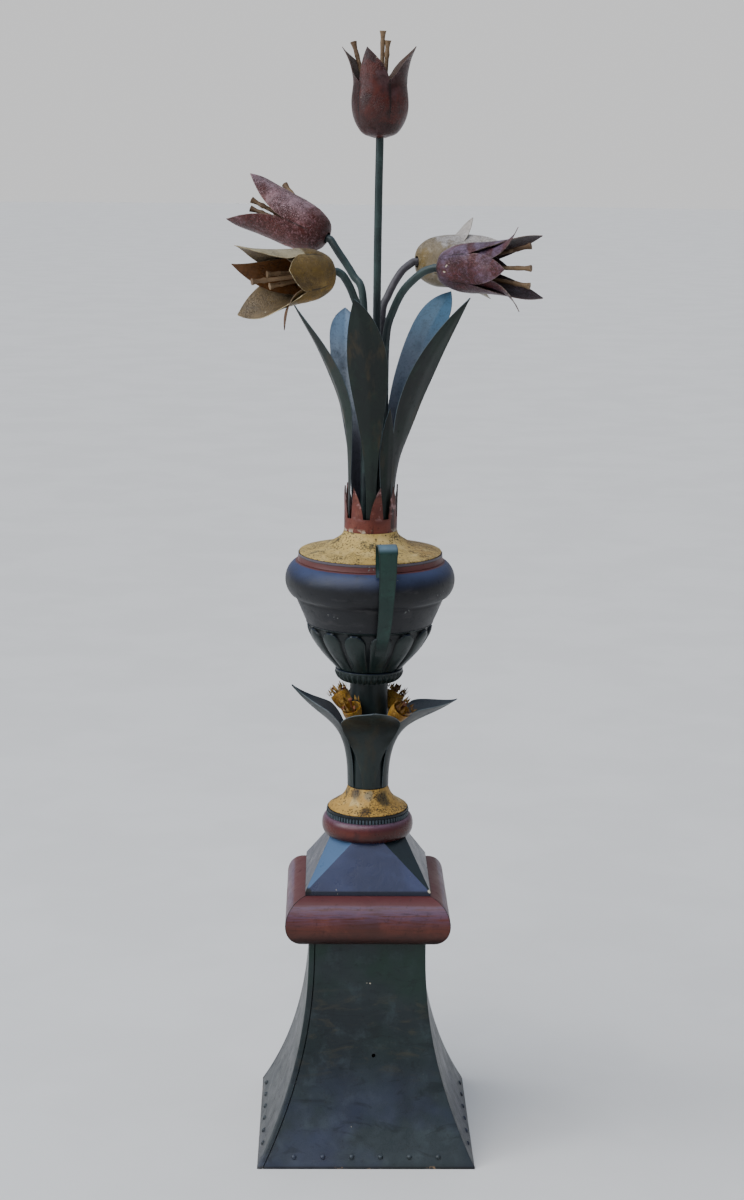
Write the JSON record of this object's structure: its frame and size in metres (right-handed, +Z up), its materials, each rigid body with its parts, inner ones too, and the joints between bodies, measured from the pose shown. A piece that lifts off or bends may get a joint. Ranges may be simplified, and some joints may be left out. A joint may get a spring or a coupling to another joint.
{
  "type": "roof finial",
  "caption": "Painted sheet-metal roof finial: flared square pedestal, mitred moulding, round stem with leaves, gadrooned urn with strap handles, and a bunch of leaves and tulips.",
  "frame": {"origin": "centre of the pedestal's underside, on the axis of the pedestal and urn", "axes": "+Z up along the axis; the side seen in the picture, with the nail hole, faces -Y; +X to the right of it"},
  "size_m": [0.4162, 0.3037, 1.5191],
  "materials": {
    "pedestal_green": "mottled dark green-grey brushed paint",
    "moulding_red": "worn brick-red paint",
    "broach_slate": "satin slate paint with sky-blue sheen",
    "ring_red": "worn red-brown paint",
    "band_black": "near-black paint",
    "foot_ochre": "crazed ochre paint",
    "stem_green": "dark green satin paint",
    "floret_mustard": "aged mustard paint",
    "urn_black": "near-black satin paint",
    "cup_green": "dark green paint on tooled tongues",
    "shoulder_ochre": "pale ochre paint with craquelure",
    "collar_red": "chipped brick-red paint",
    "handle_green": "green satin paint",
    "leaf_green": "dark green satin paint",
    "leaf_blue": "blue-green satin paint",
    "tulip_red": "dark red-brown paint",
    "tulip_rose": "wrinkled rose and rust paint",
    "tulip_ochre": "ochre paint with cream patches",
    "tulip_grey": "yellowish grey paint",
    "tulip_purple": "wrinkled purple-red paint",
    "stamen_buff": "matt buff paint"
  },
  "bodies": {
    "root": {"base_panel_back": "pedestal_green", "base_panel_front": "pedestal_green", "base_panel_left": "pedestal_green", "base_panel_right": "pedestal_green", "broach": "broach_slate", "collar": "collar_red", "crimped_band": "urn_black", "floret_back_left": "floret_mustard", "floret_back_right": "floret_mustard", "floret_front_left": "floret_mustard", "floret_front_right": "floret_mustard", "flower_stem_left_front": "stem_green", "flower_stem_left_rear": "stem_green", "flower_stem_right_front": "stem_green", "flower_stem_right_rear": "stem_green", "flower_stem_top": "stem_green", "foot_skirt": "foot_ochre", "gadroon_cup": "cup_green", "handle_back": "handle_green", "handle_front": "handle_green", "long_leaf_back_left": "leaf_blue", "long_leaf_back_right": "leaf_blue", "long_leaf_front": "leaf_green", "long_leaf_left": "leaf_green", "long_leaf_right": "leaf_green", "long_leaf_small": "leaf_green", "notched_band": "band_black", "round_moulding": "ring_red", "square_moulding_back": "moulding_red", "square_moulding_front": "moulding_red", "square_moulding_left": "moulding_red", "square_moulding_right": "moulding_red", "stem_leaf_back": "stem_green", "stem_leaf_front": "stem_green", "stem_leaf_left": "stem_green", "stem_leaf_right": "stem_green", "stem_tube": "stem_green", "tulip_left_front_inner": "tulip_ochre", "tulip_left_front_outer": "tulip_ochre", "tulip_left_front_stamens": "stamen_buff", "tulip_left_rear_inner": "tulip_rose", "tulip_left_rear_outer": "tulip_rose", "tulip_left_rear_stamens": "stamen_buff", "tulip_right_front_inner": "tulip_purple", "tulip_right_front_outer": "tulip_purple", "tulip_right_front_stamens": "stamen_buff", "tulip_right_rear_inner": "tulip_grey", "tulip_right_rear_outer": "tulip_grey", "tulip_right_rear_stamens": "stamen_buff", "tulip_top_inner": "tulip_red", "tulip_top_outer": "tulip_red", "tulip_top_stamens": "stamen_buff", "urn_bowl": "urn_black", "urn_shoulder": "shoulder_ochre"}
  },
  "joints": []
}
